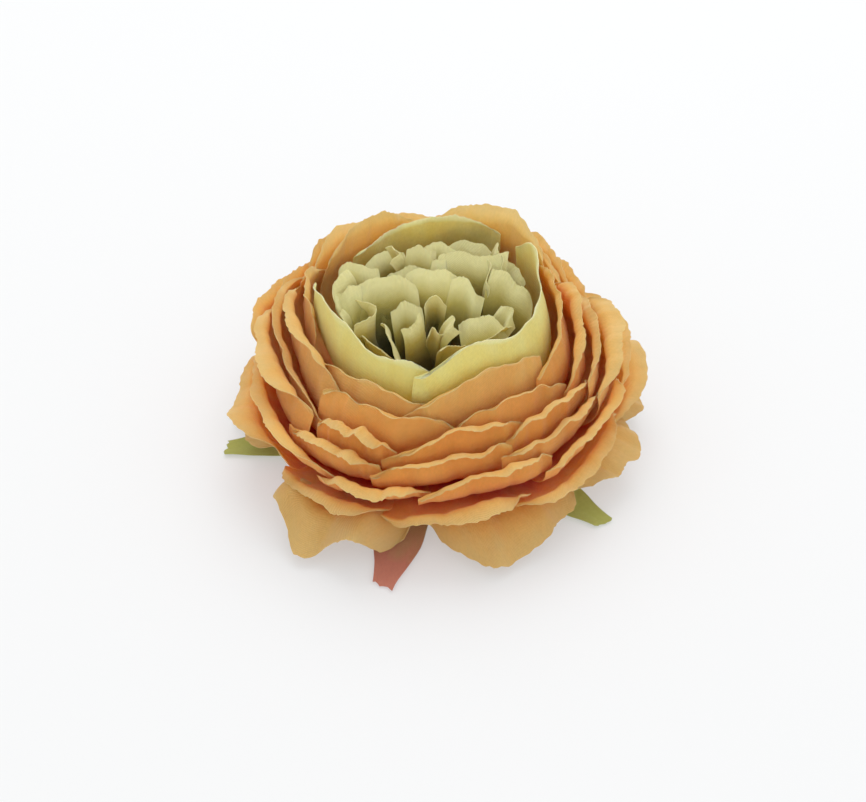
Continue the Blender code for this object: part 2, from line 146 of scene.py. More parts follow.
# sepals
sepalLeaves = {
    # direction in degrees, reach and half width in millimetres
    "leaves": ((189, 50.5, 5.5), (257.0, 52.5, 6.0), (320, 50.0, 5.5), (40, 48.0, 5.5), (115, 48.0, 5.5)),
    "blushed": 1,  # place in the list of the reddish one
    "rootWidth": 0.35,
    "tipWidth": 0.40,
    "skew": 0.02,
    "sideFray": 0.15 * mm,
    "tipFray": 0.5 * mm,
    "fold": 0.35 * mm,
    "columns": 25,
    "rows": 49,
}
resting = {
    "overSepal": 1.7 * mm,  # how much higher the cloth lies where a sepal is under it
    "sepalMargin": 2.0,  # mm beside the sepal
    "soft": 0.5 * mm,
}


def aboveFloor(x, y, z):
    # low cloth lies on the floor, or on a sepal that lies there
    lowest = np.full_like(x, threading["floorClearance"] + 0.5 * cloth["solidThickness"])
    for direction, reach, half in sepalLeaves["leaves"]:
        at = math.radians(direction)
        along = x * math.cos(at) + y * math.sin(at)
        across = y * math.cos(at) - x * math.sin(at)
        near = np.exp(-((across / ((half + resting["sepalMargin"]) * mm)) ** 4))
        near = near * smoothStep(along, 0.0, 20 * mm)
        near = near * (1.0 - smoothStep(along, (reach + 1) * mm, (reach + 5) * mm))
        lowest = lowest + resting["overSepal"] * near
    return lowest + resting["soft"] * np.logaddexp(0.0, (z - lowest) / resting["soft"])


# petal layers, from the outside in
# petals: first angle, last angle, lift of the rim, slope of the rim, turn of the lip, billow of the middle,
# share of the layer's lip length
# belly and bulge shape the bowl under the rim, fall lowers a rim's sides, side sets overlapping edges apart
# age, deep and shade are for the dye, as is the share of single petals that paints them paler: painted light
# shining through them from behind; reach and peaks change single stretches of a lip or a rim
petalLayers = [
    dict(name="petalLayer1", node="petal_layer_1", rim=(38.0, 8.0),
         belly=0.55, bulge=-8.0, lip=12.0, fall=4.0, wave=1.2, side=0.5, age=0.5, deep=0.0,
         shade=-2.6, fold=0.75,
         petals=((215, 264, 2.5, -2, 122, 5.5, 1.15), (262, 327, 0, 0, 122, 0, 1.1),
                 (317, 355, 3, 0, 105, 0, 1.0), (347, 30, 0, 0, 118, 0, 1.0),
                 (24, 74, 0, 0, 118, 0, 1.0), (68, 119, 0, 0, 118, 0, 0.95),
                 (111, 161, 0, 0, 116, 0, 1.0), (156, 206, -1.0, 0, 118, 0, 1.0)),
         reach={0: ((-0.22, 0.24, 8.0), (0.42, 0.36, -4.0)), 1: ((-0.15, 0.35, -2.2), (0.35, 0.25, -2.6))}),
    dict(name="petalLayer2", node="petal_layer_2", rim=(43.2, 15.5),
         belly=0.70, bulge=-2.0, lip=5.2, fall=2.0, wave=0.9, side=0.9, age=0.3, deep=0.5,
         shade=-1.0, ageAndPaintedBacklightShare={3: 0.4},
         petals=((216, 255, -1.0, 1, 105, 0, 1.0), (252, 299, 0, 1.5, 105, 0, 1.0),
                 (293, 345, 0, 0, 95, 0, 1.0), (339, 30, 0, 1.5, 100, 0, 1.2),
                 (24, 78, 1, 0, 60, 0, 0.9), (72, 124, 1, 0, 60, 0, 1.0),
                 (118, 168, 1, 0, 60, 0, 0.9), (162, 221, 0, 1.5, 100, 0, 1.2))),
    dict(name="petalLayer3", node="petal_layer_3", rim=(41.6, 21.5),
         belly=0.69, bulge=1.4, lip=4.8, fall=2.5, wave=0.7, side=1.0, age=0.12, deep=0.45,
         ageAndPaintedBacklightShare={2: 0.2, 3: 0.5, 4: 0.3, 7: 0.2},
         petals=((233, 268, -0.5, 0, 105, 0, 1.0), (264, 311, 1.5, 1, 85, 0, 0.65),
                 (306, 352, 1, 0, 80, 0, 0.9), (346, 38, 1.5, 1, 68, 0, 1.2),
                 (32, 86, 2, 0, 50, 0, 0.9), (80, 134, 2, 0, 50, 0, 0.8),
                 (128, 184, 2, 0, 50, 0, 0.9), (178, 239, 1, -1.5, 75, 0, 1.1))),
    dict(name="petalLayer4", node="petal_layer_4", rim=(38.6, 26.5),
         belly=0.71, bulge=4.0, lip=4.5, fall=2.5, wave=0.7, side=1.0, age=0.08, deep=0.35,
         ageAndPaintedBacklightShare={2: 0.2, 3: 0.5, 4: 0.3, 7: 0.2},
         petals=((218, 253, -0.5, 0, 105, 0, 1.0), (250, 298, 0, 0.5, 85, 0, 0.52),
                 (292, 340, 0, 0, 75, 0, 0.7), (334, 20, 4.4, 1.5, 80, 0, 1.5),
                 (16, 68, 2, 0, 45, 0, 0.8), (62, 114, 2, 0, 45, 0, 0.7),
                 (108, 166, 2, 0, 45, 0, 0.8), (160, 224, 2.5, 1.5, 88, 0, 1.3))),
    dict(name="petalLayer5", node="petal_layer_5", rim=(35.4, 30.5),
         belly=0.74, bulge=4.9, lip=4.4, fall=4.0, wave=0.7, side=1.0, age=0.05, deep=0.25,
         ageAndPaintedBacklightShare={3: 0.3, 4: 0.4, 5: 0.4, 6: 0.4, 7: 0.2},
         petals=((227, 258, 0, -1, 105, 0, 1.0), (253, 306, 0, 1, 85, 0, 0.45),
                 (296, 340, 0, 0, 70, 0, 0.75), (334, 28, 2.5, -1, 50, 0, 0.8),
                 (24, 72, 3, 0, 45, 0, 0.8), (66, 112, 3, 0, 45, 0, 0.7),
                 (106, 154, 5.0, 0, 40, 0, 1.0), (145, 233, 0, -2.5, 50, 0, 0.8))),
    dict(name="petalLayer6", node="petal_layer_6", rim=(32.0, 33.5),
         belly=0.77, bulge=5.5, lip=3.2, fall=5.0, wave=0.7, side=1.0, age=0.0, deep=0.2,
         ageAndPaintedBacklightShare={0: 0.15, 1: 0.2, 3: 0.7, 4: 0.6, 5: 0.3},
         petals=((221, 281, 1, -2.5, 45, 0, 0.32), (275, 332, 0, 0, 50, 0, 0.42),
                 (325, 25, 3.5, 2, 62, 0, 1.3), (19, 88, 3, 0, 40, 0, 0.8),
                 (82, 159, 5.7, 1, 54, 0, 1.4), (155, 227, 2.5, 1, 62, 0, 1.4))),
    dict(name="petalLayer7", node="petal_layer_7", rim=(28.5, 37.5),
         belly=0.80, bulge=6.2, lip=2.8, fall=4.0, wave=0.6, side=0.7, age=0.0, deep=0.1,
         ageAndPaintedBacklightShare={0: 0.3, 1: 0.3, 3: 0.9, 4: 0.65, 5: 0.3},
         petals=((188, 267, -2, 3.2, 45, 0, 0.6), (257, 322, 1.5, 3, 40, 0, 0.6),
                 (315, 35, 2.5, 1, 40, 0, 0.8), (28, 104, 3.8, -2.2, 44, 0, 1.7),
                 (98, 153, 6.5, 0, 18, 0, 1.1), (148, 196, 1.5, 0, 40, 0, 0.9))),
]
greenCup = dict(name="greenCup", node="green_cup", rim=(24.8, 44.0),
                belly=0.84, bulge=5.2, lip=1.6, fall=3.4, wave=0.5, side=0.9, age=0.0, deep=0.0,
                petals=((172, 267, -0.9, 0, 24, 0, 1.6), (259, 400, 0.6, 1, 16, 0, 1.0),
                        (57, 140, -0.9, 0, 14, 0, 1.0)),
                peaks={0: ((0.45, 0.35, -1.8),),
                       1: ((0.72, 0.34, 3.6), (1.0, 0.16, -2.8), (-0.66, 0.20, 3.4))})


bowl = {
    "lowCorner": 0.02,  # heights of the profile's inner corners, as shares of its wall
    "highCorner": 0.42,
}


def bowlProfile(layer, footZ, b):
    # point and direction on the layer's bowl, b from 0 at the foot to 1 at the rim and on past it
    wallR, rimZ = layer["rim"][0] * mm, layer["rim"][1] * mm
    root = threading["rootRadius"]
    out, up = wallR - root, rimZ - footZ
    corners = (
        (root, footZ),
        (root + layer["belly"] * out, footZ + bowl["lowCorner"] * up),
        (wallR + layer["bulge"] * mm, footZ + bowl["highCorner"] * up),
        (wallR, rimZ),
    )
    t = np.minimum(b, 1.0)
    beyond = np.maximum(b - 1.0, 0.0)
    place, slope = [], []
    for axis in (0, 1):
        p0, p1, p2, p3 = (corner[axis] for corner in corners)
        along = (1 - t) ** 3 * p0 + 3 * (1 - t) ** 2 * t * p1 + 3 * (1 - t) * t**2 * p2 + t**3 * p3
        rate = 3 * ((1 - t) ** 2 * (p1 - p0) + 2 * (1 - t) * t * (p2 - p1) + t**2 * (p3 - p2))
        # past the rim the wall soon turns upright
        kept = threading["settle"] * (1.0 - np.exp(-beyond / threading["settle"])) if axis == 0 else beyond
        place.append(along + kept * rate)
        slope.append(rate * np.exp(-beyond / threading["settle"]) if axis == 0 else rate)
    speed = 3.0 * math.hypot(corners[3][0] - corners[2][0], corners[3][1] - corners[2][1])
    return place[0], place[1], np.arctan2(slope[1], slope[0]), speed


def petalSurface(layer, footZ, k, u, v):
    # u across the petal from -1 to 1, v from its root to the edge of its lip
    first, last, lift, slope, roll, billow, lipShare = layer["petals"][k]
    span = (last - first) % 360
    at = math.radians(first + 0.5 * span)
    seed = layer["node"] + str(k)
    lipStart, lipBend = lipShape["start"], lipShape["bend"]
    speed = bowlProfile(layer, footZ, np.zeros(1))[3]
    rim = lift + slope * u - layer["fall"] * np.abs(u) ** cloth["sideDrop"]
    rim = rim + cloth["crest"] * ripple(u * 1.2, seed + "crest")
    for centre, wide, tall in layer.get("peaks", {}).get(k, ()):
        rim = rim + tall * np.exp(-(((u - centre) / wide) ** 2))
    body = np.clip(v / lipStart, 0.0, 1.0) ** cloth["rootCrowding"]
    over = np.clip((v - lipStart) / (1.0 - lipStart), 0.0, 1.0)
    r, z, angle, _ = bowlProfile(layer, footZ, (1.0 + rim * mm / speed) * body)
    # the lip folds outward, and stays upright and short where a neighbour covers it
    openShare = 1.0 - lipShape["coveredSide"] * smoothStep(u, 0.55, 1.0)
    openShare = openShare - lipShape["openSide"] * smoothStep(-u, 0.75, 1.0)
    turn = (math.radians(roll) + angle[-1:] - 0.5 * math.pi) * openShare
    closed = lipShape["closedLength"]
    length = layer["lip"] * lipShare * mm * (closed + (1.0 - closed) * openShare)
    length = length * (1.0 + lipShape["uneven"] * ripple(u, seed + "lip"))
    length = length * (1.0 - lipShape["sideLoss"] * np.abs(u) ** cloth["sideDrop"])
    for centre, wide, more in layer.get("reach", {}).get(k, ()):
        length = length + more * mm * np.exp(-(((u - centre) / wide) ** 2))
    length = np.maximum(length, lipShape["shortest"])
    bent = np.minimum(over / lipBend, 1.0)
    flat = np.maximum(over - lipBend, 0.0)
    bend = turn / (length * lipBend)
    final = angle - turn * bent
    r = r + (np.sin(angle) - np.sin(final)) / bend + length * flat * np.cos(final)
    z = z + (np.cos(final) - np.cos(angle)) / bend + length * flat * np.sin(final)
    frayed = 0.6 * jagged(u, seed + "fray", cloth["frayKnots"])
    frayed = frayed + 0.4 * jagged(u, seed + "nick", cloth["nickKnots"])
    cut = cloth["fray"] * mm * frayed * smoothStep(over, 0.8, 1.0)
    r = r + cut * np.cos(final)
    z = z + cut * np.sin(final)
    # each petal passes outside its neighbour at its first edge and inside it at its last
    shift = -layer["side"] * mm * u * smoothStep(v, 0.28, 0.60)
    arch = billow * np.cos(cloth["billowWaves"] * math.pi * (u - cloth["billowCentre"]))
    arch = arch * (1.0 - smoothStep(np.abs(u), 0.65, 1.0))
    ruffle = layer["wave"] * ripple(u * 1.2, seed + "wave") - arch
    shift = shift + ruffle * mm * smoothStep(v, 0.45, 1.0)
    for label, waves, slant, low, high in fineWaves:
        wave = ripple(u * waves + slant * v, seed + label)
        shift = shift + layer.get(label, cloth[label]) * mm * wave * smoothStep(v, low, high)
    r = r + np.sin(final) * shift
    z = z - np.cos(final) * shift
    rootHalf = math.radians(180.0 / len(layer["petals"])) * cloth["rootWidth"]
    half = rootHalf + (math.radians(0.5 * span) - rootHalf) * smoothStep(v, 0.05, 0.6)
    half = half * (1.0 - cloth["lipNarrows"] * over**2)
    half = half + cloth["sideFray"] * jagged(v, seed + "side", cloth["sideKnots"]) * np.abs(u) ** 8
    turned = at + u * half
    x, y, z = warped(r * np.cos(turned), r * np.sin(turned), z)
    return x, y, aboveFloor(x, y, z)


def sepalSurface(place, footZ, u, v):
    direction, reach, half = sepalLeaves["leaves"][place]
    root = threading["rootRadius"]
    wide = sepalLeaves["rootWidth"] + (1.0 - sepalLeaves["rootWidth"]) * smoothStep(v, 0.0, 0.6)
    narrow = 1.0 - (1.0 - sepalLeaves["tipWidth"]) * smoothStep(v, 0.66, 1.02)
    side = u * half * mm * wide * narrow
    side = side + sepalLeaves["sideFray"] * jagged(v, f"sepal{place}", 29) * np.abs(u)
    r = root + (reach * mm - root) * (v + sepalLeaves["skew"] * u * v)
    r = r + sepalLeaves["tipFray"] * jagged(u, f"tip{place}", 9) * smoothStep(v, 0.85, 1.0)
    rest = threading["floorClearance"] + 0.5 * cloth["solidThickness"]
    z = footZ + (rest - footZ) * smoothStep(v, 0.05, 0.9)
    z = z + sepalLeaves["fold"] * np.abs(u) * smoothStep(v, 0.2, 0.8)  # folded up a little from its midrib
    at = math.radians(direction)
    return r * math.cos(at) - side * math.sin(at), r * math.sin(at) + side * math.cos(at), z


# heart: curled petals crowded inside the green cup
# x, y and height of the middle of the rim, half width, radius of the curl, direction that the hollow side
# faces, backward lean of the rim, drop of its corners, slope of the rim, roll of its side edges.
# Millimetres and degrees.
heart = {
    "petals": (
        # round the hollow in the middle
        (-0.8, 6.4, 45.0, 6.4, 5.6, 265, 4.5, 2.4, 0.0, 0.8),
        (6.6, 2.6, 44.0, 5.0, 5.0, 252, 3.5, 1.8, -1.2, 1.2),
        (-6.9, -2.8, 42.3, 3.4, 3.2, 280, 2.4, 1.6, 0.0, 0.5),
        (-0.3, -2.4, 43.2, 2.4, 2.6, 276, -2.4, 1.6, 0.0, 0.0),
        (0.4, -11.2, 41.0, 2.5, 2.6, 95, 0.6, 1.8, 0.0, 0.2),
        (4.4, -8.4, 42.2, 3.0, 4.0, 200, 1.6, 1.2, 0.0, 0.3),
        (-5.4, -8.8, 42.0, 3.1, 8.0, 300, 0.8, 0.6, 1.2, 0.0),
        (-11.0, -12.6, 41.5, 4.8, 4.2, 25, 0.8, 2.0, 1.0, 0.4),
        # left
        (-11.4, 4.0, 45.0, 7.4, 6.2, 276, 4.5, 2.8, 0.0, 0.6),
        (-16.4, 1.8, 44.0, 5.8, 6.0, 290, 3.4, 2.0, 0.6, 0.6),
        (-14.4, -5.4, 42.8, 4.8, 3.2, 178, -0.4, 1.4, -0.8, -1.6),
        (-21.0, -1.0, 42.8, 3.8, 5.0, 320, 1.8, 2.0, 0.0, 0.3),
        (-21.4, -6.8, 41.2, 4.2, 6.0, 350, 1.2, 2.2, 0.6, 0.3),
        (-17.6, 8.0, 44.8, 5.0, 5.0, 282, 3.0, 1.6, 0.0, 0.6),
        (-22.0, 2.0, 44.6, 5.2, 9.0, 340, 1.2, 1.6, 0.6, 0.3),
        (-5.6, 9.8, 42.6, 5.2, 8.0, 272, 2.4, 1.6, 0.0, 0.3),
        # back left
        (-9.8, 12.8, 45.4, 2.8, 4.0, 20, 0.8, 1.0, 0.0, 0.8),
        (-3.6, 14.4, 45.8, 3.4, 3.8, 268, 2.2, 2.0, 0.0, 0.4),
        (0.2, 17.2, 43.6, 5.6, 9.0, 268, 2.4, 2.4, 0.0, 0.3),
        # back right
        (8.8, 11.2, 46.0, 8.4, 14.0, 262, 3.8, 0.9, 0.8, 0.5),
        (2.4, 11.0, 43.4, 5.0, 9.0, 266, 2.4, 1.4, 0.0, 0.3),
        (14.8, 9.4, 45.6, 4.8, 8.0, 190, 0.6, 1.0, -0.8, 0.3),
        (12.6, 5.4, 45.2, 4.8, 3.2, 180, 0.4, 1.8, -1.6, 1.2),
        (18.6, 2.6, 43.9, 6.2, 8.0, 238, 3.0, 1.4, -3.2, 0.4),
        # right and front
        (16.4, -5.2, 42.3, 3.2, 4.0, 215, 1.8, 2.2, 0.0, 0.3),
        (10.0, -7.0, 41.8, 5.4, 5.0, 276, 3.0, 2.2, -0.6, 0.6),
        (14.4, -9.6, 40.4, 4.8, 6.0, 128, 0.8, 2.2, 0.6, 0.3),
        (6.4, -14.0, 39.8, 5.8, 11.0, 112, 1.0, 2.0, 0.8, 0.3),
        (-15.0, -12.6, 39.4, 4.8, 8.0, 52, 0.8, 2.0, -0.6, 0.3),
        # behind the others, seen from above and from the back
        (-12.6, 17.2, 42.0, 5.6, 9.0, 305, 1.6, 1.8, 0.0, 0.4),
        (9.0, 18.4, 42.0, 6.8, 10.0, 245, 1.8, 1.8, 0.0, 0.4),
        (19.6, 9.6, 42.4, 5.4, 8.0, 205, 1.4, 1.8, 0.0, 0.4),
    ),
    "footRadius": 6.0 * mm,
    "footHole": 0.3 * mm,
    "footLift": 1.5 * mm,
    "footShare": 0.26,  # how near the axis a root lies, as a share of its rim's place
    "limit": 22.8 * mm,  # radius that the heart keeps inside
    "limitSoft": 0.8 * mm,
    "rootWidth": 0.45,
    "cornerDrop": 1.15,
    "cornerPower": 2.3,
    "crest": 0.8,  # mm, rise and fall of a rim
    "fray": 0.22,  # mm
    "frayKnots": 41,
    "flatten": 0.55,  # share of the curl that is lost towards the rim
    "nod": 1.5,  # how far the last stretch tips forward for its lean
    "nodLean": (0.3, 1.5),  # least and most lean that count for it, mm
    "sink": 0.9 * mm,
    "sideRoll": 1.6,
    "flutter": 1.3,  # mm
    "sway": 0.6,  # mm
    "columns": 41,
    "rows": 37,
}


def below(value, limit, soft):
    # value while it is well under the limit, then level with it
    return limit - soft * np.logaddexp(0.0, (limit - value) / soft)


def heartSurface(petal, footZ, u, v):
    x, y, top, half, curl, facing, lean, drop, slope, roll = petal
    seed = f"heart{x}{y}"
    rim = top + slope * u - heart["cornerDrop"] * drop * np.abs(u) ** heart["cornerPower"]
    rim = (rim + heart["crest"] * ripple(u * 0.7, seed)) * mm
    rim = rim + heart["fray"] * mm * jagged(u, seed + "fray", heart["frayKnots"]) * smoothStep(v, 0.93, 1.0)
    wide = heart["rootWidth"] + (1.0 - heart["rootWidth"]) * smoothStep(v, 0.0, 0.62)
    # upright below, then leaning back more and more, with the last stretch rolled over
    back = np.clip((v - 0.35) / 0.65, 0.0, 1.0) ** 2
    over = np.clip((v - 0.80) / 0.20, 0.0, 1.0) ** 2
    # cupped below, flatter and wider towards the rim
    cupped = (1.0 - heart["flatten"] * smoothStep(v, 0.45, 1.0)) / curl
    side = np.sin(u * half * cupped) / cupped * wide
    depth = (1.0 - np.cos(u * half * cupped)) / cupped * wide
    leastNod, mostNod = heart["nodLean"]
    depth = depth + lean * (1.0 - back) + heart["nod"] * (1.0 - over) * min(max(lean, leastNod), mostNod)
    depth = depth - roll * smoothStep(np.abs(u), 0.55, 1.0) * smoothStep(v, 0.45, 0.95) * heart["sideRoll"]
    depth = depth + heart["flutter"] * ripple(u * 0.55 + 0.3 * v, seed + "flutter") * smoothStep(v, 0.3, 1.0)
    side = side + heart["sway"] * ripple(v * 0.9 + 0.2 * u, seed + "sway")
    out = heart["footShare"] + (1.0 - heart["footShare"]) * smoothStep(v, -0.25, 0.72)
    face = math.radians(facing)
    px = (x * out + depth * math.cos(face) - side * math.sin(face)) * mm
    py = (y * out + depth * math.sin(face) + side * math.cos(face)) * mm
    radius = np.hypot(px, py) + 1e-9
    limit = heart["limit"] * (0.5 + 0.5 * smoothStep(v, 0.0, 0.45))
    kept = np.maximum(below(radius, limit, heart["limitSoft"]), np.minimum(radius, 0.5 * mm))
    z = footZ + (rim - footZ) * v - heart["sink"] * over
    return warped(px * kept / radius, py * kept / radius, z)


# mesh making
def gridLines(columns, bodyRows, lipRows):
    u = np.linspace(-1.0, 1.0, columns + 1)
    u = np.sign(u) * np.abs(u) ** cloth["crowding"]
    split = lipShape["start"]
    v = np.concatenate([np.linspace(0.0, split, bodyRows + 1)[:-1], np.linspace(split, 1.0, lipRows + 1)])
    return np.meshgrid(u, v)


def discRing(low, inner, outer, steps=48):
    # closed washer that the petals of a layer are held by
    high = low + threading["discThick"]
    edge = threading["discEdge"]
    turns = np.linspace(0.0, 2.0 * math.pi, steps, endpoint=False)
    rings = [(inner, high), (outer - edge, high), (outer, high - edge),
             (outer, low + edge), (outer - edge, low), (inner, low)]
    points = np.array([[r * math.cos(a), r * math.sin(a), z] for r, z in rings for a in turns])
    faces = []
    for i in range(len(rings)):
        j = (i + 1) % len(rings)
        for s in range(steps):
            t = (s + 1) % steps
            faces.append((i * steps + s, j * steps + s, j * steps + t, i * steps + t))
    return points, faces


def sewn(name, sheets, disc, paint):
    # each sheet: height for the dye, x, y, z, tone, and share of the second dye ramp (the sepal's blush,
    # age, and painted light shining through from behind)
    # one mesh, thickened, with what the dye needs on its points
    points, faces, along, place, tone, blush = [], [], [], [], [], []
    start = 0
    for number, (dyeHeight, x, y, z, shade, shareOfBlushAgeAndPaintedBacklight) in enumerate(sheets):
        rows, columns = x.shape
        grid = np.stack([x, y, z], -1)
        index = start + np.arange(rows * columns).reshape(rows, columns)
        quads = np.stack([index[:-1, :-1], index[:-1, 1:], index[1:, 1:], index[1:, :-1]], -1)
        faces.append(quads.reshape(-1, 4))
        points.append(grid.reshape(-1, 3))
        up = np.zeros_like(x)
        up[1:] = np.cumsum(np.linalg.norm(np.diff(grid, axis=0), axis=-1), axis=0)
        side = np.zeros_like(x)
        side[:, 1:] = np.cumsum(np.linalg.norm(np.diff(grid, axis=1), axis=-1), axis=1)
        side = side - side[:, columns // 2][:, None]
        apart = np.full_like(x, cloth["patternStep"] * number)
        place.append(np.stack([side / mm, up / mm, apart], -1).reshape(-1, 3))
        along.append(dyeHeight.ravel())
        tone.append(np.full(x.size, shade))
        blush.append(np.full(x.size, shareOfBlushAgeAndPaintedBacklight))
        start += rows * columns
    mesh = bpy.data.meshes.new(name)
    mesh.from_pydata(np.concatenate(points).tolist(), [], np.concatenate(faces).tolist())
    for label, values in (("along", along), ("tone", tone), ("blush", blush)):
        held = mesh.attributes.new(label, "FLOAT", "POINT")
        held.data.foreach_set("value", np.concatenate(values).astype(np.float32))
    held = mesh.attributes.new("clothPlace", "FLOAT_VECTOR", "POINT")
    held.data.foreach_set("vector", np.concatenate(place).astype(np.float32).ravel())
    flat = bpy.data.objects.new(name + "Flat", mesh)
    bpy.context.scene.collection.objects.link(flat)
    skin = flat.modifiers.new("Thickness", "SOLIDIFY")
    skin.thickness = cloth["thickness"]
    skin.offset = 0.0
    bpy.context.view_layer.update()
    solid = bpy.data.meshes.new_from_object(flat.evaluated_get(bpy.context.evaluated_depsgraph_get()))
    bpy.data.objects.remove(flat)
    solid = withDisc(solid, disc)
    solid.name = name
    solid.shade_smooth()
    solid.set_sharp_from_angle(angle=math.radians(cloth["crispAngle"]))
    solid.materials.clear()
    solid.materials.append(paint)
    piece = bpy.data.objects.new(name, solid)
    bpy.context.scene.collection.objects.link(piece)
    return piece


def withDisc(solid, disc):
    ringPoints, ringFaces = disc
    extra = bpy.data.meshes.new("disc")
    extra.from_pydata(ringPoints.tolist(), [], ringFaces)
    a = bpy.data.objects.new("petalsPart", solid)
    b = bpy.data.objects.new("discPart", extra)
    for part in (a, b):
        bpy.context.scene.collection.objects.link(part)
    both = [a, b]
    with bpy.context.temp_override(active_object=a, selected_objects=both, selected_editable_objects=both):
        bpy.ops.object.join()
    joined = a.data
    bpy.data.objects.remove(a)
    return joined


def fitToFrame(piece, node):
    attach(piece, "root")
    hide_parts(node)


# dyed cloth
def srgb(r, g, b):
    # screen colour to linear
    out = []
    for c in (r, g, b):
        c = c / 255.0
        out.append(c / 12.92 if c <= 0.04045 else ((c + 0.055) / 1.055) ** 2.4)
    return (*out, 1.0)


def nodeTools(material):
    tree = material.node_tree
    nodes, links = tree.nodes, tree.links

    def add(kind, **settings):
        node = nodes.new(kind)
        for key, value in settings.items():
            setattr(node, key, value)
        return node

    def wire(a, b):
        links.new(a, b)

    def maths(operation, a, b=None):
        node = add("ShaderNodeMath", operation=operation)
        for socket, value in zip(node.inputs, (a, b)):
            if value is None:
                continue
            if isinstance(value, (int, float)):
                socket.default_value = value
            else:
                wire(value, socket)
        return node.outputs[0]

    def mixed(factor, a, b, blend="MIX"):
        node = add("ShaderNodeMix", data_type="RGBA", blend_type=blend)
        for socket, value in ((node.inputs[0], factor), (node.inputs[6], a), (node.inputs[7], b)):
            if isinstance(value, (int, float)):
                socket.default_value = value
            else:
                wire(value, socket)
        return node.outputs[2]

    def ramp(factor, stops):
        node = add("ShaderNodeValToRGB")
        bar = node.color_ramp
        while len(bar.elements) < len(stops):
            bar.elements.new(0.5)
        for element, (position, colour) in zip(bar.elements, stops):
            element.position = position
            element.color = colour
        wire(factor, node.inputs[0])
        return node.outputs[0]

    def attribute(name):
        return add("ShaderNodeAttribute", attribute_name=name)

    def noise(vector, scale, detail):
        node = add("ShaderNodeTexNoise")
        node.inputs["Scale"].default_value = scale
        node.inputs["Detail"].default_value = detail
        wire(vector, node.inputs["Vector"])
        return node.outputs[0]

    def stretched(vector, scale):
        node = add("ShaderNodeVectorMath", operation="MULTIPLY")
        wire(vector, node.inputs[0])
        node.inputs[1].default_value = scale
        return node.outputs[0]

    return add, wire, maths, mixed, ramp, attribute, noise, stretched


# scales are per millimetre of cloth, across and along the petal
clothFinish = {
    "pitch": 0.42,  # mm from thread to thread, both ways
    "streaks": (0.30, 0.06, 1.0),
    "clouds": (0.11, 0.11, 1.0),
    "cloudShare": 1.2,
    "grain": (2.2, 1.1, 1.0),
    "grainShade": 0.24,
    "slubs": (1.5, 8.0, 1.0),
    "veins": (1.3, 0.10, 1.0),
    "crinkles": (0.5, 0.4, 1.0),
    "threadHeight": 0.06,
    "threadRoughness": 0.05,
    "bump": 0.8,
    "specular": 0.18,
    "sheenRoughness": 0.45,
    "lightDepth": 1.0 * mm,
    "lightColours": (1.0, 0.65, 0.4),
}


